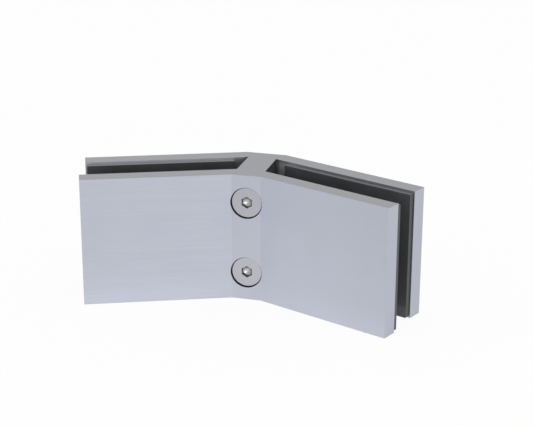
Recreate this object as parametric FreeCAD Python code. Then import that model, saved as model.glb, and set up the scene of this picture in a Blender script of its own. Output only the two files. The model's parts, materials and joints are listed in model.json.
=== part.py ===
import FreeCAD, Part
import math
import os

# Corner clamp for two glass panes: a front plate is screwed onto a back half that carries a central web,
# and each pane is held between two soft pads. +Z is up and +Y points out of the corner.
# The panes' middle planes meet on the Z axis, and the clamp stands on Z = 0. Millimetres and degrees.

# Corner and panes
CORNER_ANGLE = 135.0        # between the two panes
GLASS_SPACE = 10.8          # between two facing gaskets
HEIGHT = 50.0

# Metal halves
PLATE_THICKNESS = 6.4       # of each wing, in front of and behind the glass
FRONT_FACET_WIDTH = 11.3    # flat inside the corner that the screws go through
BACK_FACET_WIDTH = 15.8     # flat across the outside of the corner
WEB_WIDTH = 11.2            # wall between the panes' edges
BACK_REACH = 66.0           # along a pane, from the corner line to the back half's end
FRONT_OVERHANG = 2.5        # how far the front plate reaches past the back half
SLOT_FILLET = 0.5           # where the web runs into the back plate
EDGE_BREAK = 0.1            # chamfer on the outer edges

# Gaskets, four alike
GASKET_THICKNESS = 2.0
GASKET_FRONT_INSET = 0.3    # bare metal left at the front plate's end
GASKET_BACK_INSET = 0.6     # bare metal left at the back half's end
GASKET_TOP_INSET = 0.9      # bare metal left along the top
GASKET_FOOT_INSET = 0.45    # bare metal left along the bottom
GASKET_WEB_GAP = 2.05       # along the front plate, from the web to the gasket

# Countersunk socket screws
SCREW_EDGE_DISTANCE = 11.0  # from the top or the bottom face to a screw's axis
THREAD_DIAMETER = 6.0
SCREW_LENGTH = 20.0         # overall, head included
POINT_CHAMFER = 0.8
HEAD_DIAMETER = 11.8
HEAD_RIM = 0.4              # straight rim above the head's 90 degree cone
HEAD_BREAK = 0.15           # chamfer round the head's top
HEAD_SINK = 0.8             # from the front facet down to the head's top
SOCKET_ACROSS_FLATS = 4.0
SOCKET_DEPTH = 1.9
SOCKET_POINT_ANGLE = 120.0  # drilled cone under the socket

# Holes and clearances for the screws
RIM_GAP = 0.25              # between the head's rim and its recess
RECESS_RUN_OUT = 0.4        # how far the recess goes past the head's rim, before the seat
SEAT_GAP = 0.05             # between the head's cone and its seat
SHANK_GAP = 0.3             # round the shank in the front plate
THREAD_GAP = 0.05           # round the thread in the web
TAP_RUN_OUT = 2.4           # hole left beyond the screw's point
TAP_MOUTH = 0.5             # chamfer at the tapped hole's mouth
DRILL_POINT_ANGLE = 118.0

# Half of the bend away from a straight line, and distances out from a pane's middle plane
HALF_BEND = math.radians((180.0 - CORNER_ANGLE) / 2)
SLOT_HALF = GLASS_SPACE / 2 + GASKET_THICKNESS
STACK_HALF = SLOT_HALF + PLATE_THICKNESS
FRONT_REACH = BACK_REACH + FRONT_OVERHANG


def on_wing(along, outward):
    """Plan point beside the right pane: along it from the corner line, and outward from its middle plane."""
    x = along * math.cos(HALF_BEND) + outward * math.sin(HALF_BEND)
    y = outward * math.cos(HALF_BEND) - along * math.sin(HALF_BEND)
    return x, y


def beside_pane(x, outward):
    """Y, at this X, of the line that lies outward from the right pane's middle plane."""
    return outward / math.cos(HALF_BEND) - x * math.tan(HALF_BEND)


# Y of the faces that are square to the screws
FRONT_FACET_Y = beside_pane(FRONT_FACET_WIDTH / 2, -STACK_HALF)
SEAM_Y = beside_pane(WEB_WIDTH / 2, -SLOT_HALF)
WEB_ROOT_Y = beside_pane(WEB_WIDTH / 2, SLOT_HALF)
BACK_FACET_Y = beside_pane(BACK_FACET_WIDTH / 2, STACK_HALF)

# Screw stations along Y and radii
HEAD_TOP_Y = FRONT_FACET_Y + HEAD_SINK
HEAD_RIM_Y = HEAD_TOP_Y + HEAD_RIM
POINT_Y = HEAD_TOP_Y + SCREW_LENGTH
HEAD_RADIUS = HEAD_DIAMETER / 2
SHANK_RADIUS = THREAD_DIAMETER / 2
SCREW_HEIGHTS = {"upper": HEIGHT - SCREW_EDGE_DISTANCE, "lower": SCREW_EDGE_DISTANCE}


def flat(points):
    """Face inside a closed outline of points."""
    return Part.Face(Part.makePolygon(points + points[:1]))


def plan_prism(outline, bottom, top):
    """Upright solid over a plan outline of (x, y) points."""
    face = flat([FreeCAD.Vector(x, y, bottom) for x, y in outline])
    return face.extrude(FreeCAD.Vector(0, 0, top - bottom))


def with_mirror(right_half):
    """Closed symmetric outline from its right half, which starts and ends beside the middle."""
    return right_half + [(-x, y) for x, y in reversed(right_half)]


def turned(outline, height):
    """Solid turned about a screw's axis, which is parallel to Y at this height, from (radius, y) points."""
    face = flat([FreeCAD.Vector(radius, y, 0) for radius, y in outline])
    solid = face.revolve(FreeCAD.Vector(0, 0, 0), FreeCAD.Vector(0, 1, 0), 360)
    return solid.translated(FreeCAD.Vector(0, 0, height))


def upright_edges(solid, places):
    """Vertical edges of a prism that stand over these plan points."""
    found = []
    for edge in solid.Edges:
        foot, head = (vertex.Point for vertex in edge.Vertexes)
        standing = math.hypot(head.x - foot.x, head.y - foot.y) < 1e-6
        if standing and any(math.hypot(foot.x - x, foot.y - y) < 1e-6 for x, y in places):
            found.append(edge)
    return found


def level_edges(solid):
    """Top and bottom edges of a prism, apart from those along the seam between the two halves."""
    found = []
    for edge in solid.Edges:
        ends = [vertex.Point for vertex in edge.Vertexes]
        level = abs(ends[0].z - ends[1].z) < 1e-6
        along_seam = all(abs(end.y - SEAM_Y) < 1e-6 for end in ends)
        if level and not along_seam:
            found.append(edge)
    return found


def broken_edges(solid, end_corners):
    """The prism with chamfers round its top and bottom, and on the upright corners at its ends."""
    places = end_corners + [(-x, y) for x, y in end_corners]
    return solid.makeChamfer(EDGE_BREAK, level_edges(solid) + upright_edges(solid, places))


def screw_hole(height):
    """Stepped recess, countersunk seat and clearance hole for one screw in the front plate."""
    recess = HEAD_RADIUS + RIM_GAP
    hole = SHANK_RADIUS + SHANK_GAP
    cone = HEAD_RIM_Y + HEAD_RADIUS + SEAT_GAP * math.sqrt(2)
    outside = FRONT_FACET_Y - recess
    step = HEAD_RIM_Y + RECESS_RUN_OUT
    inside = SEAM_Y + hole
    outline = [(0, outside), (recess, outside), (recess, step), (cone - step, step), (hole, cone - hole)]
    return turned(outline + [(hole, inside), (0, inside)], height)


def tapped_hole(height):
    """Blind hole for one screw in the web, as wide as the thread's crests, with a drilled bottom."""
    radius = SHANK_RADIUS + THREAD_GAP
    mouth = SEAM_Y - TAP_MOUTH
    bottom = POINT_Y + TAP_RUN_OUT
    drill_point = radius / math.tan(math.radians(DRILL_POINT_ANGLE / 2))
    outline = [(0, mouth), (radius + 2 * TAP_MOUTH, mouth), (radius, SEAM_Y + TAP_MOUTH)]
    return turned(outline + [(radius, bottom), (0, bottom + drill_point)], height)


def front_plate():
    """Plate inside the corner: two wings, the middle facet, and a land that meets the web."""
    tip_front = on_wing(FRONT_REACH, -STACK_HALF)
    tip_inner = on_wing(FRONT_REACH, -SLOT_HALF)
    right_half = [(FRONT_FACET_WIDTH / 2, FRONT_FACET_Y), tip_front, tip_inner, (WEB_WIDTH / 2, SEAM_Y)]
    plate = broken_edges(plan_prism(with_mirror(right_half), 0, HEIGHT), [tip_front, tip_inner])
    for height in SCREW_HEIGHTS.values():
        plate = plate.cut(screw_hole(height))
    return plate


def back_half():
    """Plate outside the corner, in one piece with the web that takes the screws."""
    web_root = (WEB_WIDTH / 2, WEB_ROOT_Y)
    tip_inner = on_wing(BACK_REACH, SLOT_HALF)
    tip_back = on_wing(BACK_REACH, STACK_HALF)
    facet_corner = (BACK_FACET_WIDTH / 2, BACK_FACET_Y)
    right_half = [(WEB_WIDTH / 2, SEAM_Y), web_root, tip_inner, tip_back, facet_corner]
    half = plan_prism(with_mirror(right_half), 0, HEIGHT)
    roots = upright_edges(half, [web_root, (-web_root[0], web_root[1])])
    half = broken_edges(half.makeFillet(SLOT_FILLET, roots), [tip_inner, tip_back])
    for height in SCREW_HEIGHTS.values():
        half = half.cut(tapped_hole(height))
    return half


def gasket(side, far, outward):
    """Pad on the left or the right wing, ending at far, on the face outward from the pane's middle plane."""
    web_corner = WEB_WIDTH / 2 * math.cos(HALF_BEND) - SEAM_Y * math.sin(HALF_BEND)
    length = FRONT_REACH - GASKET_FRONT_INSET - web_corner - GASKET_WEB_GAP
    near = far - length
    glass_face = math.copysign(GLASS_SPACE / 2, outward)
    corners = [(near, outward), (far, outward), (far, glass_face), (near, glass_face)]
    outline = [on_wing(along, out) for along, out in corners]
    pad = plan_prism(outline, GASKET_FOOT_INSET, HEIGHT - GASKET_TOP_INSET)
    if side == "left":
        pad = pad.mirror(FreeCAD.Vector(0, 0, 0), FreeCAD.Vector(1, 0, 0))
    return pad


def socket_cut(height):
    """Hexagon socket with two corners upright, and the drilled cone at its bottom."""
    bottom = HEAD_TOP_Y + SOCKET_DEPTH
    corner = SOCKET_ACROSS_FLATS / math.sqrt(3)
    turns = [math.radians(90 + 60 * step) for step in range(6)]
    hexagon = [FreeCAD.Vector(corner * math.cos(t), HEAD_TOP_Y, height + corner * math.sin(t)) for t in turns]
    socket = flat(hexagon).extrude(FreeCAD.Vector(0, SOCKET_DEPTH, 0))
    drilled = SOCKET_ACROSS_FLATS / 2
    point = drilled / math.tan(math.radians(SOCKET_POINT_ANGLE / 2))
    outline = [(0, HEAD_TOP_Y), (drilled, HEAD_TOP_Y), (drilled, bottom), (0, bottom + point)]
    return socket.fuse(turned(outline, height))


def screw(height):
    """Countersunk screw with a hexagon socket, its thread drawn plain at the crests."""
    neck = HEAD_RIM_Y + HEAD_RADIUS - SHANK_RADIUS
    outline = [
        (0, HEAD_TOP_Y),
        (HEAD_RADIUS - HEAD_BREAK, HEAD_TOP_Y),
        (HEAD_RADIUS, HEAD_TOP_Y + HEAD_BREAK),
        (HEAD_RADIUS, HEAD_RIM_Y),
        (SHANK_RADIUS, neck),
        (SHANK_RADIUS, POINT_Y - POINT_CHAMFER),
        (SHANK_RADIUS - POINT_CHAMFER, POINT_Y),
        (0, POINT_Y),
    ]
    return turned(outline, height).cut(socket_cut(height))


def build():
    """Every piece of the clamp by its node name."""
    pieces = {"front_plate": front_plate(), "back_half": back_half()}
    for side in ("left", "right"):
        pieces["gasket_front_" + side] = gasket(side, FRONT_REACH - GASKET_FRONT_INSET, -SLOT_HALF)
        pieces["gasket_back_" + side] = gasket(side, BACK_REACH - GASKET_BACK_INSET, SLOT_HALF)
    for place, height in SCREW_HEIGHTS.items():
        pieces["screw_" + place] = screw(height)
    return pieces


os.makedirs("parts", exist_ok=True)
for name, shape in build().items():
    shape.exportStep(os.path.join("parts", name + ".step"))
    print(f"{name}: {len(shape.Solids)} solid, {shape.Volume:.1f} mm3, valid {shape.isValid()}")
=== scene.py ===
import json
import math
from collections import Counter
from functools import partial
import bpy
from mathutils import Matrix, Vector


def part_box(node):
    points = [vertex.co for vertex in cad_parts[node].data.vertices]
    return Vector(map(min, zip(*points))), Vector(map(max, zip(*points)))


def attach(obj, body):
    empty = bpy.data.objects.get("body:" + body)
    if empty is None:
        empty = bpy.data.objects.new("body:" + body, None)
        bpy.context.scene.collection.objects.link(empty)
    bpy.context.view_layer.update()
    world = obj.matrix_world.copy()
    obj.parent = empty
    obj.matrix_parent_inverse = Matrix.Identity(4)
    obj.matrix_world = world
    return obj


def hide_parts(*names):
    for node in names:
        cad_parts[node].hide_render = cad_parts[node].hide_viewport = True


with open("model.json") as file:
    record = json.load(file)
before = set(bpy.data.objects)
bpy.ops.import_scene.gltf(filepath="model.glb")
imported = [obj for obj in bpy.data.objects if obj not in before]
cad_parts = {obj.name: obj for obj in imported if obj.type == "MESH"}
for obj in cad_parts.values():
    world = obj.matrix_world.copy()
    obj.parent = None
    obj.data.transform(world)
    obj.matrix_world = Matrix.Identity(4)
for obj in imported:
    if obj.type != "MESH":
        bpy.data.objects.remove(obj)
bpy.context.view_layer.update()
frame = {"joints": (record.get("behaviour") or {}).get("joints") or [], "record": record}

from types import SimpleNamespace

import bpy
from bpy.props import FloatProperty, FloatVectorProperty, PointerProperty
from mathutils import Matrix, Vector

bl_info = {
    "name": "Glass Corner Clamp",
    "version": (1, 0, 0),
    "blender": (4, 5, 0),
    "location": "3D View > Sidebar > Glass Clamp",
    "description": "Models an angled clamp for two glass panes, with its pads and screws, on a studio floor",
    "category": "Object",
}

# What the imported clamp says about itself. Metres and radians, +Z up, +Y out of the corner, screws along Y.
MOUNTS = {mount["name"]: mount for mount in frame["record"]["mounts"]}
JOINTS = {joint["name"]: joint for joint in frame["joints"]}
SEAT = MOUNTS["right_glass_back_seat"]
HALF_BEND = math.atan2(-SEAT["axis"][0], -SEAT["axis"][1])
GLASS_SPACE = 2 * abs(Vector(SEAT["axis"]).dot(Vector(SEAT["pos_m"])))
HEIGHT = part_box("back_half")[1].z
PAD_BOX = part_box("gasket_back_right")
SCREW_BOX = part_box("screw_upper")
SCREW_HEIGHTS = {place: JOINTS[place + "_screw_turn"]["pos_m"][2] for place in ("upper", "lower")}

# Meshes
ROUND_STEPS = 96  # round a full turn
EDGE_STEPS = 5  # across a rounded edge
ROUND_PROFILE = 0.5  # of a bevel that is an arc
SMOOTH_ANGLE = math.radians(20)  # up to which two faces are shaded as one
TOUCHING = 1e-6  # within which two points count as one
HEXAGON_SIDES = 6

# Slope of the thread's flanks, and its form as shares of the pitch
FLANK_SLOPE = math.tan(math.radians(30))
GROOVE_DEPTH = 0.613
CREST_FLAT = 0.125
GROOVE_PROUD = 0.08  # how far the cutter of the screw's groove stands out past the crests
DRILL_INSET = 0.5  # how far the drilled wall in the web lies inside the screw's crests
TAP_INSET = 0.6  # how far the tap reaches inside the screw's crests, into the drilled hole

# Patterns of the finishes: lines per metre along X, Y and Z, patches per metre, and the textures' settings
BRUSHED_LINES = (16.0, 16.0, 1700.0)
SAWN_LINES = (120.0, 1500.0, 120.0)
METAL_PATCHES = 60.0
RUBBER_PATCHES = 140.0
STEEL_PATCHES = 2600.0
BROAD_LINES = {"Scale": 1.0, "Detail": 3.0, "Roughness": 0.6}
FINE_LINES = {"Scale": 4.3, "Detail": 2.0, "Roughness": 0.6}
LINE_CONTRAST = (0.7, 1.3)
PATCH_NOISE = {"Detail": 4.0, "Roughness": 0.55}
NOISE_CONTRAST = (0.3, 0.7)
RUBBER_GRAIN = {"Scale": 5200.0, "Detail": 2.0, "Roughness": 0.5}
TURNED_RINGS = {"Scale": 2400.0, "Distortion": 3.0, "Detail": 2.0, "Detail Scale": 0.6}

# Roughness of the smoothest and the dullest spots of each finish, and strength and depth of its bump
METAL_ROUGHNESS = (0.42, 0.56)
RUBBER_ROUGHNESS = (0.5, 0.65)
STEEL_ROUGHNESS = (0.2, 0.3)
CONE_ROUGHNESS = (0.22, 0.3)
METAL_BUMP = (0.12, 0.00002)
RUBBER_BUMP = (0.25, 0.00003)
STEEL_BUMP = (0.1, 0.00002)

# Where one look gives way to another
EDGE_BLUR = 0.00003  # over which a mask changes at an edge
SIDE_CHANGE = 0.004  # over which the left wing's looks give way to the right wing's
FACE_SLANT = (0.6, 0.8)  # cosines between which a face counts as level, or as a wing's end

# Aluminium: tones of the upright faces, with painted light and shade, and painted light and shade on the
# metal in the slots
CALM_LINES = (0.36, 0.64)  # range of the softer hairlines on the facet and the right wing
WING_LIGHT_AND_SHADE = (1.045, 0.955)  # painted light and shade along the front of the right wing, from the facet to the end
END_LIGHT_AND_SHADE = (0.945, 1.055)  # painted shade and light up the ends of the wings, from the foot to the top
GLOW_GAIN = 0.085  # tone that the foot gains
GLOW_HEIGHT = 0.011  # at which the gain ends
GLOW_MIDDLE = 0.008  # X at which the foot gains nothing
GLOW_REACH = 0.03  # from there to the full gain
STRIP_PAINT_SHARE = 0.8  # of the strips' painted light and shade in the metal beside the gaskets
CORNER_SHADE_LENGTH = 0.0016  # from the web to the end of the painted shade in the corner
POCKET_LIGHT_LENGTH = 0.008  # from the web to where the painted light in the right pocket starts to fade, and again to its end
POCKET_LIGHT_DEPTH = 0.002  # below the top, from which the painted light in the right pocket is full
POCKET_LIGHT_METAL = 0.4  # how metallic the metal is under the painted light in the right pocket
FULL_WEAR = 2.0  # of hairlines and patches together, each up to 1

# Rubber: tones of the faces, with painted light below their top band and at their foot, and cosines at the
# rims, which take painted light
FACE_LIGHT_HEIGHTS = (0.038, 0.046)  # between which the painted light on the faces fades out
FACE_LIGHT_SHARE = (0.8, 1.0)  # of the painted light on the darkest and on the palest clouds
FOOT_LIGHT_HEIGHTS = (0.004, 0.0056)  # between which the painted reflection of the floor at the foot fades out
LIFT_TONE = 1.4  # at the end beside the web
LIFT_LENGTH = 0.008  # over which that tone fades
RIM_SLANT = (0.5, 0.8)  # between which a pad's rim turns into its face
TOP_LIGHT_SLANT = (0.5, 0.9)  # between which a rim faces up enough to take the painted top light

# Painted glint on the cone in a screw's socket: its place along X and Z, its squeeze along Z, and its reach
GLINT_PLACE = (-0.0008, -0.0009)
GLINT_STRETCH = 1.15
GLINT_REACH = 0.0022

# Soft lamps, the room, and the bright pool on the floor
KEY_PLACE = (0.36, -0.69, 0.14)
KEY_SIZE = (0.6, 0.16)
FILL_PLACE = (-0.6, -0.5, 0.7)
FILL_SIZE = (0.8, 0.8)
CEILING_START = 0.3  # sine of the slope at which the walls start to turn into the ceiling
LEVEL_PART = (1.0, 1.0, 0.0)  # what is kept of a direction to make it level
POOL_SHAPE = (0.4, 1.0, 1.0)  # by which the pool's offsets are scaled, so that it is long in X
WHITE = (1.0, 1.0, 1.0, 1.0)


def setting(name, description, default, **kind):
    """Setting for a number, or for a vector where the default has parts, with its unit or subtype."""
    make_property = FloatVectorProperty if isinstance(default, tuple) else FloatProperty
    return make_property(name=name, description=description, default=default, **kind)


length_setting = partial(setting, unit="LENGTH")
angle_setting = partial(setting, subtype="ANGLE")
power_setting = partial(setting, unit="POWER")
share_setting = partial(setting, subtype="FACTOR")
colour_setting = partial(setting, subtype="COLOR")
place_setting = partial(setting, subtype="TRANSLATION")


class ClampSizes(bpy.types.PropertyGroup):
    """Sizes of the clamp's pieces."""

    plate_thickness: length_setting(
        "Plate Thickness", "Metal of each wing, in front of and behind the glass", 0.0064
    )
    front_facet_width: length_setting(
        "Front Facet Width", "Flat inside the corner that the screws go through", 0.0113
    )
    back_facet_width: length_setting("Back Facet Width", "Flat across the outside of the corner", 0.0158)
    web_width: length_setting("Web Width", "Wall between the edges of the two panes", 0.0112)
    back_reach: length_setting(
        "Back Reach", "From the corner line to the back half's end, along a pane", 0.066
    )
    front_overhang: length_setting(
        "Front Overhang", "How far the front plate reaches past the back half", 0.0025
    )
    slot_fillet: length_setting("Slot Fillet", "Radius where the web runs into the back plate", 0.0005)
    edge_round: length_setting("Edge Round", "Rounding of the metal's outer edges", 0.0001)
    pad_corner: length_setting("Pad Corner", "Radius of the corners of a gasket's face", 0.0006)
    pad_round: length_setting("Pad Round", "Rounding of a gasket's edges", 0.0002)


class ScrewSizes(bpy.types.PropertyGroup):
    """Sizes of the screws and of the holes that take them."""

    thread_diameter: length_setting("Thread Diameter", "Diameter over the crests of the thread", 0.006)
    thread_pitch: length_setting("Thread Pitch", "Travel of one turn", 0.001)
    point_chamfer: length_setting("Point Chamfer", "Chamfer at the screw's point", 0.0008)
    head_diameter: length_setting("Head Diameter", "Diameter of the countersunk head", 0.0118)
    head_rim: length_setting("Head Rim", "Straight rim above the head's cone", 0.0004)
    head_break: length_setting("Head Break", "Rounding of the edge of the head's face", 0.00015)
    socket_across_flats: length_setting(
        "Socket Across Flats", "Size of the key that fits the hexagon socket", 0.004
    )
    socket_break: length_setting("Socket Break", "Chamfer at the mouth of the hexagon socket", 0.00005)
    socket_depth: length_setting("Socket Depth", "Straight depth of the hexagon socket", 0.0019)
    socket_point_angle: angle_setting(
        "Socket Point Angle", "Angle of the drilled cone at the socket's bottom", math.radians(120)
    )
    rim_gap: length_setting("Rim Gap", "Between the head's rim and its recess", 0.00025)
    recess_run_out: length_setting(
        "Recess Run-out", "How far the recess goes past the head's rim, before the seat", 0.0004
    )
    seat_gap: length_setting("Seat Gap", "Between the head's cone and its seat", 0.00005)
    shank_gap: length_setting("Shank Gap", "Round the shank in the front plate", 0.0003)
    thread_gap: length_setting("Thread Gap", "Between the screw's thread and the tapped thread", 0.00005)
    tap_run_out: length_setting("Tap Run-out", "Hole left beyond the screw's point", 0.0024)
    tap_mouth: length_setting("Tap Mouth", "Chamfer at the tapped hole's mouth", 0.0005)
    drill_point_angle: angle_setting(
        "Drill Point Angle", "Angle of the cone at the tapped hole's bottom", math.radians(118)
    )


class ClampColours(bpy.types.PropertyGroup):
    """Colours of the clamp's finishes."""

    brushed_light: colour_setting(
        "Brushed Light", "Bright hairlines of the brushed aluminium", (0.53, 0.553, 0.625)
    )
    brushed_dark: colour_setting(
        "Brushed Dark", "Dull hairlines of the brushed aluminium", (0.475, 0.498, 0.567)
    )
    sawn_light: colour_setting(
        "Sawn Light", "Bright marks on the sawn top and bottom faces", (0.5, 0.505, 0.53)
    )
    sawn_dark: colour_setting(
        "Sawn Dark", "Dull marks on the sawn top and bottom faces", (0.45, 0.455, 0.48)
    )
    # Painted light and reflection on the metal beside the gaskets in the left slot
    painted_light_strip_left: colour_setting(
        "Left Strip", "Bare metal beside the gaskets in the left slot", (0.59, 0.597, 0.622)
    )
    # Painted shade on the metal beside the gaskets in the right slot
    painted_shade_strip_right: colour_setting(
        "Right Strip", "Bare metal beside the gaskets in the right slot", (0.285, 0.282, 0.288)
    )
    # Painted light that brightens the right slot's pocket beside the web
    pocket_light_colour: colour_setting(
        "Mill Colour", "Bright mill finish in the right slot's pocket beside the web", (0.58, 0.585, 0.6)
    )
    # Painted shade in the slots' corners at the web
    corner_shade_colour: colour_setting("Dull Colour", "Dull corner of the slots at the web", (0.085, 0.086, 0.089))
    # Painted shade inside the screw recesses
    recess_shade_colour: colour_setting(
        "Recess Colour", "Dark metal inside the screw recesses", (0.16, 0.162, 0.168)
    )
    steel_light: colour_setting(
        "Steel Light", "Bright rings of the turned screw heads", (0.503, 0.504, 0.55)
    )
    steel_dark: colour_setting("Steel Dark", "Dull rings of the turned screw heads", (0.397, 0.397, 0.435))
    # Painted glint on the cones at the bottom of the hexagon sockets
    cone_glint_colour: colour_setting(
        "Cone Colour", "Bright side of the cones at the bottom of the hexagon sockets", (0.74, 0.728, 0.755)
    )
    # Painted shade on the cones, away from their glint
    cone_shade: colour_setting(
        "Cone Shade", "Dull side of the cones, away from their glint", (0.165, 0.163, 0.169)
    )
    # Painted shade on the walls of the hexagon sockets
    socket_shade_colour: colour_setting("Socket Colour", "Dark walls of the hexagon sockets", (0.3, 0.296, 0.305))
    rubber_light: colour_setting("Rubber Light", "Paler clouds of the gasket rubber", (0.066, 0.068, 0.072))
    rubber_dark: colour_setting("Rubber Dark", "Darker clouds of the gasket rubber", (0.046, 0.0475, 0.05))
    # Painted light on the pads' ends and lower rims
    rubber_rim_light: colour_setting("Rubber Cut", "Paler cut ends of the gasket rubber", (0.09, 0.093, 0.098))
    # Painted light on the upper edges of the gaskets in the left slot
    top_light_left: colour_setting(
        "Left Dust", "Dust on the upper edges of the gaskets in the left slot", (0.245, 0.25, 0.262)
    )
    # Painted light on the upper edges of the gaskets in the right slot
    top_light_right: colour_setting(
        "Right Dust", "Dust on the upper edges of the gaskets in the right slot", (0.165, 0.168, 0.178)
    )
    # Painted reflection of the floor at the foot of the gaskets
    rubber_foot_light: colour_setting(
        "Rubber Foot", "Paler rubber at the foot of the gaskets", (0.113, 0.116, 0.123)
    )
    # Painted light on the rubber below the top band of the gaskets
    rubber_face_light: colour_setting(
        "Rubber Bloom", "Pale bloom on the rubber, below the top of the gaskets", (0.066, 0.0685, 0.0735)
    )


class StudioSettings(bpy.types.PropertyGroup):
    """Floor, light and camera."""

    floor_colour: colour_setting("Floor Colour", "Colour of the floor", (1.0, 1.0, 1.0))
    floor_glow: share_setting(
        "Floor Glow", "Share of the floor that the camera sees as plain white, without shadow", 0.94
    )
    mirrored_glow: share_setting(
        "Mirrored Glow", "Share of the floor that the metal mirrors as a plain glow, without shadow", 0.8
    )
    pool_near: setting(
        "Pool Near", "Brightness of the mirrored floor in the middle of its bright pool", 1.165
    )
    pool_far: setting("Pool Far", "Brightness of the mirrored floor outside the pool", 0.945)
    pool_centre: place_setting("Pool Centre", "Middle of the bright pool on the floor", (0.0, -0.04, 0.0))
    pool_radius: length_setting("Pool Radius", "Where the bright pool on the floor ends", 0.1)
    front_wall: setting("Front Wall", "Brightness of the room behind the camera", 0.72)
    back_wall: setting("Back Wall", "Brightness of the room behind the clamp", 0.72)
    left_wall: setting("Left Wall", "Brightness of the room to the left", 1.05)
    right_wall: setting("Right Wall", "Brightness of the room to the right", 0.74)
    ceiling: setting("Ceiling", "Brightness of the room overhead", 0.73)
    key_power: power_setting("Key Power", "Power of the soft lamp low at the front right", 0.58)
    fill_power: power_setting("Fill Power", "Power of the soft lamp high at the front left", 0.8)
    floor_size: length_setting("Floor Size", "Side of the square floor", 12.0)
    view_azimuth: angle_setting(
        "View Azimuth",
        "How far the camera stands to the right of the corner's middle plane",
        math.radians(15.084),
    )
    view_elevation: angle_setting("View Elevation", "How far the camera looks down", math.radians(19.668))
    view_roll: angle_setting(
        "View Roll", "Turn of the camera about its own line of sight", math.radians(0.198)
    )
    view_distance: length_setting("View Distance", "From the camera to the point that it looks at", 0.53657)
    view_target: place_setting(
        "View Target", "Point that the camera looks at", (0.00794, -0.01728, 0.03595)
    )
    focal_length: setting("Focal Length", "Focal length on a frame 36 mm wide", 96.62, unit="CAMERA")


def on_wing(along, outward):
    """Plan point beside the right pane: along it from the corner line, and outward from its middle plane."""
    x = along * math.cos(HALF_BEND) + outward * math.sin(HALF_BEND)
    y = outward * math.cos(HALF_BEND) - along * math.sin(HALF_BEND)
    return x, y


def beside_pane(x, outward):
    """Y, at this X, of the line that lies outward from the right pane's middle plane."""
    return outward / math.cos(HALF_BEND) - x * math.tan(HALF_BEND)


def pad_size():
    """Length and thickness of a gasket, worked out from the box round the slanted pad."""
    across, deep, _ = PAD_BOX[1] - PAD_BOX[0]
    determinant = math.cos(2 * HALF_BEND)
    length = (across * math.cos(HALF_BEND) - deep * math.sin(HALF_BEND)) / determinant
    thickness = (deep * math.cos(HALF_BEND) - across * math.sin(HALF_BEND)) / determinant
    return length, thickness


def clamp_plan(sizes):
    """Distances out from a pane's middle plane, and Y of the faces that are square to the screws."""
    slot_half = GLASS_SPACE / 2 + pad_size()[1]
    stack_half = slot_half + sizes.plate_thickness
    return SimpleNamespace(
        slot_half=slot_half,
        stack_half=stack_half,
        front_reach=sizes.back_reach + sizes.front_overhang,
        front_facet_y=beside_pane(sizes.front_facet_width / 2, -stack_half),
        seam_y=beside_pane(sizes.web_width / 2, -slot_half),
        web_root_y=beside_pane(sizes.web_width / 2, slot_half),
        back_facet_y=beside_pane(sizes.back_facet_width / 2, stack_half),
    )


def screw_plan(screw):
    """Y stations along a screw, and its radii."""
    head_top, point = SCREW_BOX[0].y, SCREW_BOX[1].y
    head_radius = screw.head_diameter / 2
    shank_radius = screw.thread_diameter / 2
    rim = head_top + screw.head_rim
    return SimpleNamespace(
        head_top=head_top,
        rim=rim,
        neck=rim + head_radius - shank_radius,
        point=point,
        head_radius=head_radius,
        shank_radius=shank_radius,
    )


def with_mirror(right_half):
    """Closed symmetric outline from its right half, which starts and ends beside the middle."""
    return right_half + [(-x, y) for x, y in reversed(right_half)]


def make_active(piece):
    """Selects this object alone."""
    bpy.ops.object.select_all(action="DESELECT")
    piece.select_set(True)
    bpy.context.view_layer.objects.active = piece


def named(name):
    """Object that an operator has just added, with this name."""
    piece = bpy.context.active_object
    piece.name = name
    return piece


def edit_all(piece):
    """Opens the object in edit mode with all of it selected."""
    make_active(piece)
    bpy.ops.object.mode_set(mode="EDIT")
    bpy.ops.mesh.select_all(action="SELECT")


def face_outward():
    """Turns all faces of the object in edit mode outward, and closes edit mode."""
    bpy.ops.mesh.select_all(action="SELECT")
    bpy.ops.mesh.normals_make_consistent(inside=False)
    bpy.ops.object.mode_set(mode="OBJECT")


def round_edges(piece, wanted, offset):
    """Rounds the edges whose two ends pass the test, starting this far from each edge."""
    make_active(piece)
    bpy.ops.object.mode_set(mode="EDIT")
    bpy.ops.mesh.select_mode(type="EDGE")
    bpy.ops.mesh.select_all(action="DESELECT")
    bpy.ops.object.mode_set(mode="OBJECT")
    for edge in piece.data.edges:
        start, end = (piece.data.vertices[index].co for index in edge.vertices)
        edge.select = wanted(start, end)
    bpy.ops.object.mode_set(mode="EDIT")
    bpy.ops.mesh.bevel(offset=offset, segments=EDGE_STEPS, profile=ROUND_PROFILE, affect="EDGES")
    bpy.ops.object.mode_set(mode="OBJECT")


def add_prism(name, outline, bottom, top):
    """Adds an upright solid over a plan outline of (x, y) points."""
    bpy.ops.object.select_all(action="DESELECT")
    bpy.ops.mesh.primitive_circle_add(vertices=len(outline), fill_type="NGON")
    piece = named(name)
    for vertex, (x, y) in zip(piece.data.vertices, outline):
        vertex.co = (x, y, bottom)
    edit_all(piece)
    bpy.ops.mesh.extrude_region_move(TRANSFORM_OT_translate={"value": (0, 0, top - bottom)})
    face_outward()
    return piece


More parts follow.
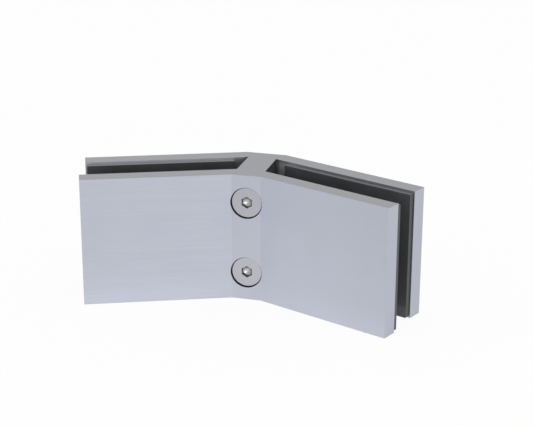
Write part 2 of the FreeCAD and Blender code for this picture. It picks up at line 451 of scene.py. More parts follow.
def add_turned(name, stations, height, steps=ROUND_STEPS):
    """Adds a solid about a screw's axis from (radius, y) stations, the last of which may be a point."""
    radius, place = stations[0]
    bpy.ops.object.select_all(action="DESELECT")
    bpy.ops.mesh.primitive_circle_add(
        vertices=steps,
        radius=radius,
        fill_type="NGON",
        location=(0, place, height),
        rotation=(math.pi / 2, 0, 0),
    )
    piece = named(name)
    bpy.ops.object.transform_apply(location=True, rotation=True, scale=True)
    edit_all(piece)
    for next_radius, next_place in stations[1:]:
        bpy.ops.mesh.extrude_region_move(TRANSFORM_OT_translate={"value": (0, next_place - place, 0)})
        if next_radius:
            share = next_radius / radius
            centre = (0, next_place, height)
            bpy.ops.transform.resize(value=(share, 1, share), center_override=centre)
        else:
            bpy.ops.mesh.merge(type="CENTER")
        radius, place = next_radius, next_place
    face_outward()
    return piece


def add_coil(name, section, pitch, turns, height, fade=0.0):
    """Adds a right-hand coil about a screw's axis from a closed (radius, y) section.

    Its first half turn starts this much further out, so that a groove cut with it fades in.
    """
    bpy.ops.object.select_all(action="DESELECT")
    bpy.ops.mesh.primitive_circle_add(vertices=len(section), fill_type="NOTHING")
    coil = named(name)
    for vertex, (radius, y) in zip(coil.data.vertices, section):
        vertex.co = (radius, y, 0)
    helix = coil.modifiers.new("Helix", "SCREW")
    helix.axis = "Y"
    helix.screw_offset = pitch
    helix.iterations = turns
    helix.steps = ROUND_STEPS
    helix.render_steps = ROUND_STEPS
    bpy.ops.object.modifier_apply(modifier=helix.name)
    fading_steps = ROUND_STEPS // 2
    for index, vertex in enumerate(coil.data.vertices[: fading_steps * len(section)]):
        away = Vector((vertex.co.x, 0, vertex.co.z)).normalized()
        left = 1 - (index // len(section)) / fading_steps
        vertex.co += away * fade * left
    coil.location.z = height
    bpy.ops.object.transform_apply(location=True, rotation=False, scale=False)
    edit_all(coil)
    bpy.ops.mesh.fill_holes(sides=len(section))
    face_outward()
    return coil


def cut_away(piece, cutter):
    """Takes the cutter's volume out of the piece, and deletes the cutter."""
    boolean = piece.modifiers.new("Cut", "BOOLEAN")
    boolean.operation = "DIFFERENCE"
    boolean.solver = "MANIFOLD"
    boolean.object = cutter
    make_active(piece)
    bpy.ops.object.modifier_apply(modifier=boolean.name)
    bpy.data.objects.remove(cutter)


def placed_copy(model, name, location, turn=0.0):
    """Copy of a model with its own mesh, turned about Z and moved, while its object stays at the origin."""
    make_active(model)
    bpy.ops.object.duplicate()
    piece = named(name)
    piece.rotation_euler.z = turn
    piece.location = location
    bpy.ops.object.transform_apply(location=True, rotation=True, scale=True)
    return piece


def require_closed(piece):
    """Stops the operator if the piece has an edge that isn't shared by exactly two faces."""
    uses = Counter(key for face in piece.data.polygons for key in face.edge_keys)
    open_edges = sum(count != 2 for count in uses.values())
    if open_edges or not uses:
        raise RuntimeError(f"{piece.name} isn't a closed solid: {open_edges} open edges")


def finish_piece(piece, body, node, material):
    """Shades the piece, gives it its material, and sets it on its body in place of its plain solid."""
    require_closed(piece)
    make_active(piece)
    bpy.ops.object.shade_smooth_by_angle(angle=SMOOTH_ANGLE)
    normals = piece.modifiers.new("Flat faces stay flat", "WEIGHTED_NORMAL")
    normals.keep_sharp = True
    bpy.ops.object.modifier_apply(modifier=normals.name)
    piece.data.materials.clear()
    piece.data.materials.append(material)
    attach(piece, body)
    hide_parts(node)


def outer_edge_test(seam_y, end_corners):
    """Test for a metal half's top and bottom edges off the seam, and the upright edges at its ends."""
    places = [(side * x, y) for x, y in end_corners for side in (-1, 1)]

    def wanted(start, end):
        if abs(start.z - end.z) < TOUCHING:
            return abs(start.y - seam_y) > TOUCHING or abs(end.y - seam_y) > TOUCHING
        return any(math.hypot(start.x - x, start.y - y) < TOUCHING for x, y in places)

    return wanted


def hole_stations(plan, screw):
    """Stepped recess, seat and clearance hole, as stations of a cutter from the front to the back."""
    along = screw_plan(screw)
    recess = along.head_radius + screw.rim_gap
    hole = along.shank_radius + screw.shank_gap
    cone = along.rim + along.head_radius + screw.seat_gap * math.sqrt(2)
    step = along.rim + screw.recess_run_out
    return [
        (recess, plan.front_facet_y - recess),
        (recess, step),
        (cone - step, step),
        (hole, cone - hole),
        (hole, plan.seam_y + hole),
    ]


def tap_stations(plan, screw):
    """Drilled hole for the thread's crests inside the web, with a chamfered mouth and a drill point."""
    along = screw_plan(screw)
    drilled = along.shank_radius - DRILL_INSET * screw.thread_pitch
    wide = along.shank_radius + screw.thread_gap + 2 * screw.tap_mouth
    mouth = plan.seam_y - screw.tap_mouth
    bottom = along.point + screw.tap_run_out
    drill_point = drilled / math.tan(screw.drill_point_angle / 2)
    return [(wide, mouth), (drilled, mouth + wide - drilled), (drilled, bottom), (0, bottom + drill_point)]


def coil_section(centre, first, second):
    """Closed section of a coil, centred on this Y, from two pairs of a radius and half the width there."""
    (first_radius, first_half), (second_radius, second_half) = first, second
    return [
        (first_radius, centre - first_half),
        (first_radius, centre + first_half),
        (second_radius, centre + second_half),
        (second_radius, centre - second_half),
    ]


def groove_coil(screw):
    """Cutter for the groove of the screw's thread, open past the crests and fading in at the neck."""
    pitch = screw.thread_pitch
    along = screw_plan(screw)
    proud = GROOVE_PROUD * pitch
    depth = GROOVE_DEPTH * pitch
    crest_half = (1 - CREST_FLAT) * pitch / 2
    outside = (along.shank_radius + proud, crest_half + proud * FLANK_SLOPE)
    root = (along.shank_radius - depth, crest_half - depth * FLANK_SLOPE)
    turns = math.ceil((along.point - along.neck) / pitch) + 1
    return add_coil("groove", coil_section(along.neck, outside, root), pitch, turns, 0, fade=depth)


def tap_coil(plan, screw, height):
    """Cutter for the thread in the web, which leaves room round the screw's own thread."""
    pitch = screw.thread_pitch
    along = screw_plan(screw)
    inner = along.shank_radius - TAP_INSET * pitch
    outer = along.shank_radius + screw.thread_gap
    outer_half = CREST_FLAT * pitch / 2 + screw.thread_gap
    inner_half = outer_half + (outer - inner) * FLANK_SLOPE
    start = along.neck + pitch / 2
    start += pitch * math.floor((plan.seam_y - start) / pitch)
    turns = math.ceil((along.point - start) / pitch) + 1
    section = coil_section(start, (inner, inner_half), (outer, outer_half))
    return add_coil("tap", section, pitch, turns, height)


def set_inputs(tree, node, inputs):
    """Links each of these inputs of a node to a socket, or sets it to a value."""
    for name, value in inputs.items():
        if isinstance(value, bpy.types.NodeSocket):
            tree.links.new(value, node.inputs[name])
        else:
            node.inputs[name].default_value = value


def add_node(tree, kind, inputs, **settings):
    """Adds a node with its own options set, and its inputs linked or set."""
    node = tree.nodes.new(kind)
    for name, value in settings.items():
        setattr(node, name, value)
    set_inputs(tree, node, inputs)
    return node


def number(tree, operation, *values):
    """Result of one operation on numbers or number sockets."""
    inputs = dict(enumerate(values))
    return add_node(tree, "ShaderNodeMath", inputs, operation=operation).outputs["Value"]


def product(tree, value, *others):
    """All these numbers or number sockets, multiplied."""
    for other in others:
        value = number(tree, "MULTIPLY", value, other)
    return value


def vector(tree, operation, *values):
    """Vector that one operation on vectors or vector sockets gives."""
    inputs = dict(enumerate(values))
    return add_node(tree, "ShaderNodeVectorMath", inputs, operation=operation).outputs["Vector"]


def scaled(tree, colour, tone):
    """Colour socket made lighter or darker by a tone."""
    inputs = {0: colour, "Scale": tone}
    return add_node(tree, "ShaderNodeVectorMath", inputs, operation="SCALE").outputs["Vector"]


def length_of(tree, value):
    """Length of a vector socket."""
    return add_node(tree, "ShaderNodeVectorMath", {0: value}, operation="LENGTH").outputs["Value"]


def separated(tree, value):
    """X, Y and Z of a vector socket."""
    return add_node(tree, "ShaderNodeSeparateXYZ", {"Vector": value}).outputs


def spread(tree, value, low, high, to_low=0.0, to_high=1.0):
    """The value's range from low to high, spread over another range and held inside it."""
    inputs = {"Value": value, "From Min": low, "From Max": high, "To Min": to_low, "To Max": to_high}
    return add_node(tree, "ShaderNodeMapRange", inputs).outputs["Result"]


def falling(tree, value, low, high):
    """One up to low, falling to zero at high."""
    return spread(tree, value, low, high, 1.0, 0.0)


def mixed_value(tree, factor, first, second):
    """Number between two numbers or number sockets."""
    inputs = {"Factor": factor, "A": first, "B": second}
    return add_node(tree, "ShaderNodeMix", inputs, data_type="FLOAT").outputs["Result"]


def mixed_colour(tree, factor, first, second):
    """Colour between two colours or colour sockets."""
    node = add_node(tree, "ShaderNodeMix", {"Factor": factor}, data_type="RGBA")
    sockets = [socket for socket in node.inputs if socket.type == "RGBA"]
    for socket, colour in zip(sockets, (first, second)):
        if isinstance(colour, bpy.types.NodeSocket):
            tree.links.new(colour, socket)
        else:
            socket.default_value = (*colour, 1.0)
    return next(socket for socket in node.outputs if socket.type == "RGBA")


def noise(tree, place, settings):
    """Noise over a place, with the settings of its texture."""
    return add_node(tree, "ShaderNodeTexNoise", {"Vector": place, **settings}).outputs["Fac"]


def bumped(tree, height, strength, depth):
    """Normal that follows a height which is this deep, in metres."""
    inputs = {"Height": height, "Strength": strength, "Distance": depth}
    return add_node(tree, "ShaderNodeBump", inputs).outputs["Normal"]


def shader_group(name, inputs, output):
    """Empty shader node group with named inputs, each of a socket type, and one number as its output."""
    group = bpy.data.node_groups.new(name, "ShaderNodeTree")
    for label, kind in inputs.items():
        group.interface.new_socket(label, in_out="INPUT", socket_type=kind)
    group.interface.new_socket(output, in_out="OUTPUT", socket_type="NodeSocketFloat")
    return group, group.nodes.new("NodeGroupInput"), group.nodes.new("NodeGroupOutput")


def drawn_lines_group():
    """Hairlines: noise that is stretched along the lines, in two widths."""
    if "Drawn Lines" in bpy.data.node_groups:
        return bpy.data.node_groups["Drawn Lines"]
    sockets = {"Vector": "NodeSocketVector", "Lines per Metre": "NodeSocketVector"}
    group, entry, result = shader_group("Drawn Lines", sockets, "Lines")
    stretched = vector(group, "MULTIPLY", entry.outputs["Vector"], entry.outputs["Lines per Metre"])
    both = number(group, "ADD", noise(group, stretched, BROAD_LINES), noise(group, stretched, FINE_LINES))
    group.links.new(spread(group, both, *LINE_CONTRAST), result.inputs["Lines"])
    return group


def clouding_group():
    """Soft patches that keep a surface from looking even."""
    if "Clouding" in bpy.data.node_groups:
        return bpy.data.node_groups["Clouding"]
    sockets = {"Vector": "NodeSocketVector", "Patches per Metre": "NodeSocketFloat"}
    group, entry, result = shader_group("Clouding", sockets, "Cloud")
    settings = {"Scale": entry.outputs["Patches per Metre"], **PATCH_NOISE}
    patches = noise(group, entry.outputs["Vector"], settings)
    group.links.new(spread(group, patches, *NOISE_CONTRAST), result.inputs["Cloud"])
    return group


def drawn_lines(tree, place, lines_per_metre):
    """Hairlines in a material, from the shared group."""
    inputs = {"Vector": place, "Lines per Metre": lines_per_metre}
    return add_node(tree, "ShaderNodeGroup", inputs, node_tree=drawn_lines_group()).outputs["Lines"]


def clouding(tree, place, patches_per_metre):
    """Soft patches in a material, from the shared group."""
    inputs = {"Vector": place, "Patches per Metre": patches_per_metre}
    return add_node(tree, "ShaderNodeGroup", inputs, node_tree=clouding_group()).outputs["Cloud"]


def empty_tree(owner):
    """Node tree of a material or a world, with nothing in it."""
    owner.use_nodes = True
    owner.node_tree.nodes.clear()
    return owner.node_tree


def new_material(name):
    """Material with only a Principled shader in it: returns the material, its node tree and the shader."""
    material = bpy.data.materials.new(name)
    tree = empty_tree(material)
    shader = tree.nodes.new("ShaderNodeBsdfPrincipled")
    add_node(tree, "ShaderNodeOutputMaterial", {"Surface": shader.outputs["BSDF"]})
    return material, tree, shader


def right_side(tree, x):
    """Mask that changes over from the left wing to the right wing."""
    return spread(tree, x, -SIDE_CHANGE, SIDE_CHANGE)


def outward_of(tree, x, y):
    """How far a plan point lies, or a direction points, outward from the right pane's middle plane."""
    slant = product(tree, x, math.sin(HALF_BEND))
    return number(tree, "MULTIPLY_ADD", y, math.cos(HALF_BEND), slant)


def sideways_of(tree, x, facing):
    """How much a face points sideways, away from the clamp's middle."""
    return product(tree, facing["X"], number(tree, "SIGN", x))


def recess_shade_mask(tree, x, y, z, scene):
    """Mask for the painted shade: one inside the screw recesses of the front plate, and zero on all other
    metal.
    """
    seam_y = clamp_plan(scene.clamp_sizes).seam_y
    screw = scene.clamp_screw
    radius = screw.head_diameter / 2 + screw.rim_gap
    off_middle = number(tree, "ABSOLUTE", number(tree, "SUBTRACT", z, HEIGHT / 2))
    off_axis = number(tree, "SUBTRACT", off_middle, SCREW_HEIGHTS["upper"] - HEIGHT / 2)
    beside = add_node(tree, "ShaderNodeCombineXYZ", {"X": x, "Z": off_axis}).outputs["Vector"]
    in_ring = falling(tree, length_of(tree, beside), radius, radius + EDGE_BLUR)
    in_plate = falling(tree, y, seam_y - 2 * EDGE_BLUR, seam_y - EDGE_BLUR)
    return product(tree, in_ring, in_plate)


def slot_masks(tree, x, y, z, scene):
    """Masks for the painted light and shade on the metal beside the gaskets, the painted light in the right
    slot's pocket, and the painted shade in the corners at the web.
    """
    web_half = scene.clamp_sizes.web_width / 2
    slot_half = clamp_plan(scene.clamp_sizes).slot_half
    aside = number(tree, "ABSOLUTE", x)
    outward = number(tree, "ABSOLUTE", outward_of(tree, aside, y))
    between_plates = falling(tree, outward, slot_half + EDGE_BLUR, slot_half + 2 * EDGE_BLUR)
    past_web = spread(tree, aside, web_half - 2 * EDGE_BLUR, web_half - EDGE_BLUR)
    above_foot = spread(tree, z, PAD_BOX[0].z - EDGE_BLUR, PAD_BOX[0].z)
    in_slot = product(tree, between_plates, past_web, above_foot)
    # Painted light in the right slot's pocket, which fades out at the top and away from the web
    deep = falling(tree, z, HEIGHT - POCKET_LIGHT_DEPTH, HEIGHT)
    in_pocket = falling(tree, aside, web_half + POCKET_LIGHT_LENGTH, web_half + 2 * POCKET_LIGHT_LENGTH)
    pocket_light = product(tree, in_slot, deep, in_pocket, right_side(tree, x))
    # Painted shade in the corners at the web
    at_web = falling(tree, aside, web_half, web_half + CORNER_SHADE_LENGTH)
    return product(tree, in_slot, STRIP_PAINT_SHARE), pocket_light, product(tree, in_slot, at_web)


def wing_light_and_shade(tree, x, y, scene):
    """Painted light and shade: a tone that drifts along the front face of the right wing, lighter by the
    facet and darker towards its end, and is 1 elsewhere.
    """
    sizes = scene.clamp_sizes
    plan = clamp_plan(sizes)
    facet_end = sizes.front_facet_width / 2
    wing_end = on_wing(plan.front_reach, -plan.stack_half)[0]
    front_face = EDGE_BLUR - plan.stack_half
    front = falling(tree, outward_of(tree, x, y), front_face, front_face + EDGE_BLUR)
    past_facet = spread(tree, x, facet_end, facet_end + EDGE_BLUR)
    on_face = product(tree, front, past_facet)
    return mixed_value(tree, on_face, 1.0, spread(tree, x, facet_end, wing_end, *WING_LIGHT_AND_SHADE))


def foot_glow(tree, x, z):
    """Tone that the pale floor adds at the foot of the upright faces, mostly away from the corner."""
    low = spread(tree, z, 0.0, GLOW_HEIGHT, GLOW_GAIN, 0.0)
    aside = number(tree, "ABSOLUTE", number(tree, "SUBTRACT", x, GLOW_MIDDLE))
    return product(tree, low, spread(tree, aside, 0.0, GLOW_REACH))


def end_face(tree, x, facing):
    """One on the faces across the ends of the wings, and zero on the others."""
    slant = product(tree, facing["Y"], -math.sin(HALF_BEND))
    along = number(tree, "MULTIPLY_ADD", sideways_of(tree, x, facing), math.cos(HALF_BEND), slant)
    return spread(tree, along, *FACE_SLANT)


def brushed_aluminium(scene):
    """Aluminium brushed level along its upright faces, sawn on its top and bottom, with painted light and
    shade on its upright faces and in its slots, and painted shade in its recesses.
    """
    if "brushed_aluminium_hairline" in bpy.data.materials:
        return bpy.data.materials["brushed_aluminium_hairline"]
    colours = scene.clamp_colours
    material, tree, shader = new_material("brushed_aluminium_hairline")
    place = tree.nodes.new("ShaderNodeTexCoord").outputs
    x, y, z = separated(tree, place["Object"])
    facing = separated(tree, place["Normal"])
    brushed = drawn_lines(tree, place["Object"], BRUSHED_LINES)
    sawn = drawn_lines(tree, place["Object"], SAWN_LINES)
    level_face = spread(tree, number(tree, "ABSOLUTE", facing["Z"]), *FACE_SLANT)
    facet_start = -scene.clamp_sizes.front_facet_width / 2
    calm_side = spread(tree, x, facet_start - SIDE_CHANGE, facet_start)
    calm = spread(tree, brushed, 0.0, 1.0, *CALM_LINES)
    drawn = mixed_value(tree, calm_side, brushed, calm)
    lines = mixed_value(tree, level_face, drawn, sawn)
    upright = mixed_colour(tree, drawn, colours.brushed_dark, colours.brushed_light)
    level = mixed_colour(tree, sawn, colours.sawn_dark, colours.sawn_light)
    # Painted light and shade along the right wing's front, with the pale floor's tone at the foot added
    tone = number(tree, "ADD", wing_light_and_shade(tree, x, y, scene), foot_glow(tree, x, z))
    # Painted shade and light up the wings' ends: darker at the foot, lighter at the top
    end_light_and_shade = spread(tree, z, 0.0, HEIGHT, *END_LIGHT_AND_SHADE)
    tone = mixed_value(tree, end_face(tree, x, facing), tone, end_light_and_shade)
    metal = mixed_colour(tree, level_face, scaled(tree, upright, tone), level)
    # Painted light and shade beside the gaskets, painted light in the right slot's pocket, and painted shade
    # in the corners at the web
    painted_strip, pocket_light, dull = slot_masks(tree, x, y, z, scene)
    strip_light_and_shade = mixed_colour(tree, right_side(tree, x), colours.painted_light_strip_left, colours.painted_shade_strip_right)
    metal = mixed_colour(tree, painted_strip, metal, strip_light_and_shade)
    metal = mixed_colour(tree, pocket_light, metal, colours.pocket_light_colour)
    # Painted shade in the corners at the web
    metal = mixed_colour(tree, dull, metal, colours.corner_shade_colour)
    # Painted shade inside the screw recesses
    metal = mixed_colour(tree, recess_shade_mask(tree, x, y, z, scene), metal, colours.recess_shade_colour)
    wear = number(tree, "ADD", lines, clouding(tree, place["Object"], METAL_PATCHES))
    inputs = {
        "Base Color": metal,
        "Roughness": spread(tree, wear, 0.0, FULL_WEAR, *METAL_ROUGHNESS),
        # Less metallic where the light in the right pocket is painted
        "Metallic": spread(tree, pocket_light, 0.0, 1.0, 1.0, POCKET_LIGHT_METAL),
        "Normal": bumped(tree, lines, *METAL_BUMP),
    }
    set_inputs(tree, shader, inputs)
    return material


def gasket_rubber(scene):
    """Matt black rubber with a fine moulded grain, paler beside the web, with painted light on its rims,
    below its top band and at its foot.
    """
    colours = scene.clamp_colours
    material, tree, shader = new_material("gasket_rubber_matt")
    place = tree.nodes.new("ShaderNodeTexCoord").outputs
    x, _, z = separated(tree, place["Object"])
    facing = separated(tree, place["Normal"])
    cloud = clouding(tree, place["Object"], RUBBER_PATCHES)
    grain = noise(tree, place["Object"], RUBBER_GRAIN)
    colour = mixed_colour(tree, cloud, colours.rubber_dark, colours.rubber_light)
    aside = number(tree, "ABSOLUTE", x)
    lift = spread(tree, aside, PAD_BOX[0].x, PAD_BOX[0].x + LIFT_LENGTH, LIFT_TONE, 1.0)
    colour = scaled(tree, colour, lift)
    # Painted light on the faces below their top band, stronger on the paler clouds
    face_light = falling(tree, z, *FACE_LIGHT_HEIGHTS)
    face_light = product(tree, face_light, spread(tree, cloud, 0.0, 1.0, *FACE_LIGHT_SHARE))
    colour = mixed_colour(tree, face_light, colour, colours.rubber_face_light)
    # Painted reflection of the floor at the foot
    colour = mixed_colour(tree, falling(tree, z, *FOOT_LIGHT_HEIGHTS), colour, colours.rubber_foot_light)
    # Painted light on the upper rims, lighter in the left slot than in the right
    top_light = mixed_colour(tree, right_side(tree, x), colours.top_light_left, colours.top_light_right)
    # Painted light on the pads' ends and lower rims, and the painted top light on their upper rims
    rim_light = mixed_colour(tree, spread(tree, facing["Z"], *TOP_LIGHT_SLANT), colours.rubber_rim_light, top_light)
    across = number(tree, "ABSOLUTE", outward_of(tree, sideways_of(tree, x, facing), facing["Y"]))
    inputs = {
        "Base Color": mixed_colour(tree, falling(tree, across, *RIM_SLANT), colour, rim_light),
        "Roughness": spread(tree, grain, *NOISE_CONTRAST, *RUBBER_ROUGHNESS),
        "Normal": bumped(tree, grain, *RUBBER_BUMP),
    }
    set_inputs(tree, shader, inputs)
    return material


def socket_masks(tree, place, screw):
    """Masks for the walls and mouth of a hexagon socket, which take painted shade, and for the cone at its
    bottom.
    """
    x, y, z = separated(tree, place)
    turn = 2 * math.pi / HEXAGON_SIDES
    aside = number(tree, "ABSOLUTE", x)
    slant = product(tree, number(tree, "ABSOLUTE", z), math.sin(turn))
    slant = number(tree, "MULTIPLY_ADD", aside, math.cos(turn), slant)
    off_middle = number(tree, "MAXIMUM", aside, slant)
    wall = screw.socket_across_flats / 2
    inside = falling(tree, off_middle, wall + EDGE_BLUR / 2, wall + EDGE_BLUR)
    bottom = screw_plan(screw).head_top + screw.socket_depth
    deep = spread(tree, y, bottom - 2 * EDGE_BLUR, bottom - EDGE_BLUR)
    cone = product(tree, inside, deep)
    return number(tree, "SUBTRACT", inside, cone), cone


def glint_shade(tree, place):
    """Mask that grows over a socket's cone, away from its painted glint."""
    across, up = GLINT_PLACE
    inputs = {
        "Vector": place,
        "Location": (-across, 0.0, -up * GLINT_STRETCH),
        "Scale": (1.0, 0.0, GLINT_STRETCH),
    }
    offset = add_node(tree, "ShaderNodeMapping", inputs).outputs["Vector"]
    return spread(tree, length_of(tree, offset), 0.0, GLINT_REACH)


def screw_steel(scene, place_name):
    """Stainless steel with the fine rings of a turned head, centred on one screw, with a painted glint on
    its socket's cone and painted shade on the socket's walls.
    """
    colours = scene.clamp_colours
    material, tree, shader = new_material("screw_steel_" + place_name)
    inputs = {
        "Vector": tree.nodes.new("ShaderNodeTexCoord").outputs["Object"],
        "Location": (0.0, 0.0, -SCREW_HEIGHTS[place_name]),
    }
    centred = add_node(tree, "ShaderNodeMapping", inputs).outputs["Vector"]
    inputs = {"Vector": centred, **TURNED_RINGS}
    rings = add_node(tree, "ShaderNodeTexWave", inputs, wave_type="RINGS", rings_direction="Y")
    cloud = clouding(tree, centred, STEEL_PATCHES)
    finish = mixed_value(tree, cloud, rings.outputs["Fac"], cloud)
    colour = mixed_colour(tree, finish, colours.steel_dark, colours.steel_light)
    walls, cone = socket_masks(tree, centred, scene.clamp_screw)
    # Painted glint on the cone, fading into painted shade away from it
    cone_glint_and_shade = mixed_colour(tree, glint_shade(tree, centred), colours.cone_glint_colour, colours.cone_shade)
    colour = mixed_colour(tree, cone, colour, cone_glint_and_shade)
    dull = spread(tree, finish, 0.0, 1.0, *STEEL_ROUGHNESS)
    polished = spread(tree, finish, 0.0, 1.0, *CONE_ROUGHNESS)
    # The socket's walls and mouth take painted shade
    inputs = {
        "Base Color": mixed_colour(tree, walls, colour, colours.socket_shade_colour),
        "Roughness": mixed_value(tree, cone, dull, polished),
        "Metallic": 1.0,
        "Normal": bumped(tree, finish, *STEEL_BUMP),
    }
    set_inputs(tree, shader, inputs)
    return material


class GLASSCLAMP_OT_front_plate(bpy.types.Operator):
    """Model the plate inside the corner, with its two countersunk screw holes"""

    bl_idname = "glass_clamp.front_plate"
    bl_label = "Front Plate"

    def execute(self, context):
        sizes = context.scene.clamp_sizes
        screw = context.scene.clamp_screw
        plan = clamp_plan(sizes)
        tip_front = on_wing(plan.front_reach, -plan.stack_half)
        tip_inner = on_wing(plan.front_reach, -plan.slot_half)
        facet_corner = (sizes.front_facet_width / 2, plan.front_facet_y)
        web_corner = (sizes.web_width / 2, plan.seam_y)
        outline = with_mirror([facet_corner, tip_front, tip_inner, web_corner])
        plate = add_prism("front_plate_brushed", outline, 0, HEIGHT)
        round_edges(plate, outer_edge_test(plan.seam_y, [tip_front, tip_inner]), sizes.edge_round)
        for height in SCREW_HEIGHTS.values():
            cut_away(plate, add_turned("screw_hole", hole_stations(plan, screw), height))
        metal = brushed_aluminium(context.scene)
        finish_piece(plate, "front_clamp", "front_plate", metal)
        return {"FINISHED"}


class GLASSCLAMP_OT_back_half(bpy.types.Operator):
    """Model the plate outside the corner, in one piece with the web and its two tapped holes"""

    bl_idname = "glass_clamp.back_half"
    bl_label = "Back Half"

    def execute(self, context):
        sizes = context.scene.clamp_sizes
        screw = context.scene.clamp_screw
        plan = clamp_plan(sizes)
        web_corner = (sizes.web_width / 2, plan.seam_y)
        web_root = (sizes.web_width / 2, plan.web_root_y)
        tip_inner = on_wing(sizes.back_reach, plan.slot_half)
        tip_back = on_wing(sizes.back_reach, plan.stack_half)
        facet_corner = (sizes.back_facet_width / 2, plan.back_facet_y)
        outline = with_mirror([web_corner, web_root, tip_inner, tip_back, facet_corner])
        half = add_prism("back_half_brushed", outline, 0, HEIGHT)
        slot_corner = math.pi / 2 - HALF_BEND
        fillet_reach = sizes.slot_fillet / math.tan(slot_corner / 2)
        root_x, root_y = web_root

        def at_root(start, end):
            return all(math.hypot(abs(p.x) - root_x, p.y - root_y) < TOUCHING for p in (start, end))

        round_edges(half, at_root, fillet_reach)
        round_edges(half, outer_edge_test(plan.seam_y, [tip_inner, tip_back]), sizes.edge_round)
        for height in SCREW_HEIGHTS.values():
            cut_away(half, add_turned("tapped_hole", tap_stations(plan, screw), height))
            cut_away(half, tap_coil(plan, screw, height))
        metal = brushed_aluminium(context.scene)
        finish_piece(half, "back_clamp", "back_half", metal)
        return {"FINISHED"}


class GLASSCLAMP_OT_gaskets(bpy.types.Operator):
    """Model one rubber pad and set a copy of it on each of the four faces that hold the glass"""

    bl_idname = "glass_clamp.gaskets"
    bl_label = "Gaskets"

    def execute(self, context):
        rubber = gasket_rubber(context.scene)
        pad = self.flat_pad(context.scene.clamp_sizes)
        for half in ("front", "back"):
            for side, turn in (("left", HALF_BEND), ("right", -HALF_BEND)):
                seat = MOUNTS[f"{side}_glass_{half}_seat"]
                middle = Vector(seat["pos_m"]) - Vector(seat["axis"]) * pad_size()[1] / 2
                piece = placed_copy(pad, f"pad_{half}_{side}", middle, turn)
                finish_piece(piece, half + "_clamp", f"gasket_{half}_{side}", rubber)
        bpy.data.objects.remove(pad)
        return {"FINISHED"}

    def flat_pad(self, sizes):
        """Pad along X, centred on the origin, with round corners to its face and rounded edges."""
        length, thickness = pad_size()
        half_height = (PAD_BOX[1].z - PAD_BOX[0].z) / 2
        outline = [
            (-length / 2, -thickness / 2),
            (length / 2, -thickness / 2),
            (length / 2, thickness / 2),
            (-length / 2, thickness / 2),
        ]
        pad = add_prism("pad", outline, -half_height, half_height)

        def at_corner(start, end):
            return abs(start.y - end.y) > thickness / 2

        def on_face(start, end):
            return abs(start.y - end.y) < TOUCHING and abs(abs(start.y) - thickness / 2) < TOUCHING

        round_edges(pad, at_corner, sizes.pad_corner)
        round_edges(pad, on_face, sizes.pad_round)
        return pad


class GLASSCLAMP_OT_screws(bpy.types.Operator):
    """Model one countersunk socket screw with its thread, and set a copy in each hole"""

    bl_idname = "glass_clamp.screws"
    bl_label = "Screws"

    def execute(self, context):
        model = self.threaded_screw(context.scene.clamp_screw)
        for place, height in SCREW_HEIGHTS.items():
            piece = placed_copy(model, f"screw_{place}_threaded", (0, 0, height))
            steel = screw_steel(context.scene, place)
            finish_piece(piece, place + "_screw", "screw_" + place, steel)
        bpy.data.objects.remove(model)
        return {"FINISHED"}

    def threaded_screw(self, screw):
        """Screw along Y at height zero: turned blank, hexagon socket, then the thread's groove."""
        along = screw_plan(screw)
        blank = [
            (along.head_radius - screw.head_break, along.head_top),
            (along.head_radius, along.head_top + screw.head_break),
            (along.head_radius, along.rim),
            (along.shank_radius, along.neck),
            (along.shank_radius, along.point - screw.point_chamfer),
            (along.shank_radius - screw.point_chamfer, along.point),
        ]
        model = add_turned("screw", blank, 0)
        corner = screw.socket_across_flats / math.sqrt(3)
        bottom = along.head_top + screw.socket_depth
        above = along.head_top - screw.head_rim
        hexagon = [
            (corner + screw.socket_break + screw.head_rim, above),
            (corner, along.head_top + screw.socket_break),
            (corner, bottom),
        ]
        cut_away(model, add_turned("hexagon", hexagon, 0, steps=HEXAGON_SIDES))
        drilled = screw.socket_across_flats / 2
        drill_point = drilled / math.tan(screw.socket_point_angle / 2)
        cone = [(drilled, above), (drilled, bottom), (0, bottom + drill_point)]
        cut_away(model, add_turned("drilled_cone", cone, 0))
        cut_away(model, groove_coil(screw))
        return model


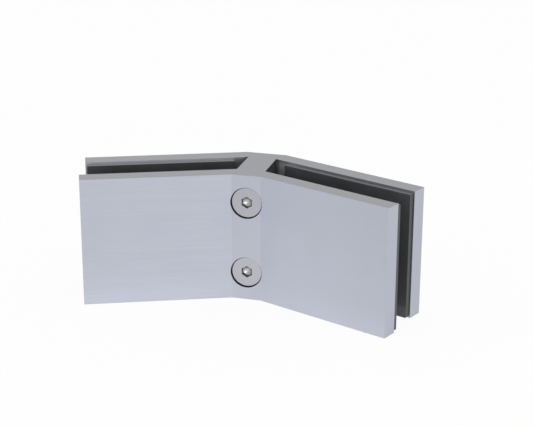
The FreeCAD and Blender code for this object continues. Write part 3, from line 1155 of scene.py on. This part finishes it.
class GLASSCLAMP_OT_studio(bpy.types.Operator):
    """Set up the pale floor, the soft light and the camera"""

    bl_idname = "glass_clamp.studio"
    bl_label = "Studio"

    def execute(self, context):
        studio = context.scene.clamp_studio
        context.scene.view_settings.view_transform = "Standard"
        self.floor(studio)
        self.room(context.scene, studio)
        self.lamps(studio)
        self.camera(context.scene, studio)
        return {"FINISHED"}

    def floor(self, studio):
        """Pale floor that keeps the clamp's shadow and shows white to the camera and in the metal."""
        bpy.ops.object.select_all(action="DESELECT")
        bpy.ops.mesh.primitive_plane_add(size=studio.floor_size)
        floor = named("studio_floor")
        material = bpy.data.materials.new("studio_floor_white")
        material.cycles.emission_sampling = "NONE"
        tree = empty_tree(material)
        colour = (*studio.floor_colour, 1.0)
        painted = add_node(tree, "ShaderNodeBsdfDiffuse", {"Color": colour})
        place = tree.nodes.new("ShaderNodeTexCoord").outputs["Object"]
        offset = vector(tree, "MULTIPLY", vector(tree, "SUBTRACT", place, studio.pool_centre), POOL_SHAPE)
        away = length_of(tree, offset)
        pool = spread(tree, away, 0.0, studio.pool_radius, studio.pool_near, studio.pool_far)
        ray = tree.nodes.new("ShaderNodeLightPath").outputs
        strength = mixed_value(tree, ray["Is Camera Ray"], pool, 1.0)
        glowing = add_node(tree, "ShaderNodeEmission", {"Color": colour, "Strength": strength})
        indirect = number(tree, "MAXIMUM", ray["Is Glossy Ray"], ray["Is Transmission Ray"])
        mirrored = product(tree, indirect, studio.mirrored_glow)
        share = number(tree, "MULTIPLY_ADD", ray["Is Camera Ray"], studio.floor_glow, mirrored)
        inputs = {0: share, 1: painted.outputs["BSDF"], 2: glowing.outputs["Emission"]}
        both = add_node(tree, "ShaderNodeMixShader", inputs)
        add_node(tree, "ShaderNodeOutputMaterial", {"Surface": both.outputs["Shader"]})
        floor.data.materials.append(material)

    def room(self, scene, studio):
        """Room light: four walls that run into one another, and the ceiling."""
        world = bpy.data.worlds.new("studio_room")
        tree = empty_tree(world)
        direction = tree.nodes.new("ShaderNodeTexCoord").outputs["Generated"]
        upward = separated(tree, direction)["Z"]
        level = vector(tree, "NORMALIZE", vector(tree, "MULTIPLY", direction, LEVEL_PART))
        x, y, _ = separated(tree, level)
        sideways = spread(tree, x, -1.0, 1.0, studio.left_wall, studio.right_wall)
        along = spread(tree, y, -1.0, 1.0, studio.front_wall, studio.back_wall)
        wall = mixed_value(tree, product(tree, x, x), along, sideways)
        strength = mixed_value(tree, spread(tree, upward, CEILING_START, 1.0), wall, studio.ceiling)
        light = add_node(tree, "ShaderNodeBackground", {"Color": WHITE, "Strength": strength})
        add_node(tree, "ShaderNodeOutputWorld", {"Surface": light.outputs["Background"]})
        scene.world = world

    def lamps(self, studio):
        """Soft lamps low at the front right and high at the front left."""
        lamps = (
            ("key_lamp", KEY_PLACE, KEY_SIZE, studio.key_power),
            ("fill_lamp", FILL_PLACE, FILL_SIZE, studio.fill_power),
        )
        for name, location, size, power in lamps:
            bpy.ops.object.select_all(action="DESELECT")
            bpy.ops.object.light_add(type="AREA", location=location)
            lamp = named(name)
            lamp.data.shape = "RECTANGLE"
            lamp.data.size, lamp.data.size_y = size
            lamp.data.energy = power
            lamp.rotation_euler = (-Vector(location)).to_track_quat("-Z", "Y").to_euler()

    def camera(self, scene, studio):
        """Camera at the photograph's angle."""
        azimuth, elevation = studio.view_azimuth, studio.view_elevation
        level = math.cos(elevation)
        away = Vector((math.sin(azimuth) * level, -math.cos(azimuth) * level, math.sin(elevation)))
        turn = away.to_track_quat("Z", "Y").to_matrix() @ Matrix.Rotation(studio.view_roll, 3, "Z")
        place = Vector(studio.view_target) + away * studio.view_distance
        bpy.ops.object.select_all(action="DESELECT")
        bpy.ops.object.camera_add(location=place, rotation=turn.to_euler())
        camera = named("photo_camera")
        camera.data.lens = studio.focal_length
        scene.camera = camera


class GLASSCLAMP_PT_pieces(bpy.types.Panel):
    """Pieces of the clamp, with their sizes and colours"""

    bl_label = "Glass Corner Clamp"
    bl_idname = "GLASSCLAMP_PT_pieces"
    bl_space_type = "VIEW_3D"
    bl_region_type = "UI"
    bl_category = "Glass Clamp"

    def draw(self, context):
        for operator in OPERATORS:
            self.layout.operator(operator.bl_idname)
        for pointer, group in SETTINGS.items():
            box = self.layout.box()
            for name in group.__annotations__:
                box.prop(getattr(context.scene, pointer), name)


SETTINGS = {
    "clamp_sizes": ClampSizes,
    "clamp_screw": ScrewSizes,
    "clamp_colours": ClampColours,
    "clamp_studio": StudioSettings,
}
OPERATORS = (
    GLASSCLAMP_OT_front_plate,
    GLASSCLAMP_OT_back_half,
    GLASSCLAMP_OT_gaskets,
    GLASSCLAMP_OT_screws,
    GLASSCLAMP_OT_studio,
)
CLASSES = (*SETTINGS.values(), *OPERATORS, GLASSCLAMP_PT_pieces)


def register():
    """Adds the classes, and their settings to the scene."""
    for item in CLASSES:
        bpy.utils.register_class(item)
    for pointer, group in SETTINGS.items():
        setattr(bpy.types.Scene, pointer, PointerProperty(type=group))


def unregister():
    """Takes the settings and the classes away again."""
    for pointer in SETTINGS:
        delattr(bpy.types.Scene, pointer)
    for item in reversed(CLASSES):
        bpy.utils.unregister_class(item)


def main():
    """Models every piece and the studio."""
    register()
    bpy.ops.glass_clamp.front_plate()
    bpy.ops.glass_clamp.back_half()
    bpy.ops.glass_clamp.gaskets()
    bpy.ops.glass_clamp.screws()
    bpy.ops.glass_clamp.studio()


if __name__ == "__main__":
    main()
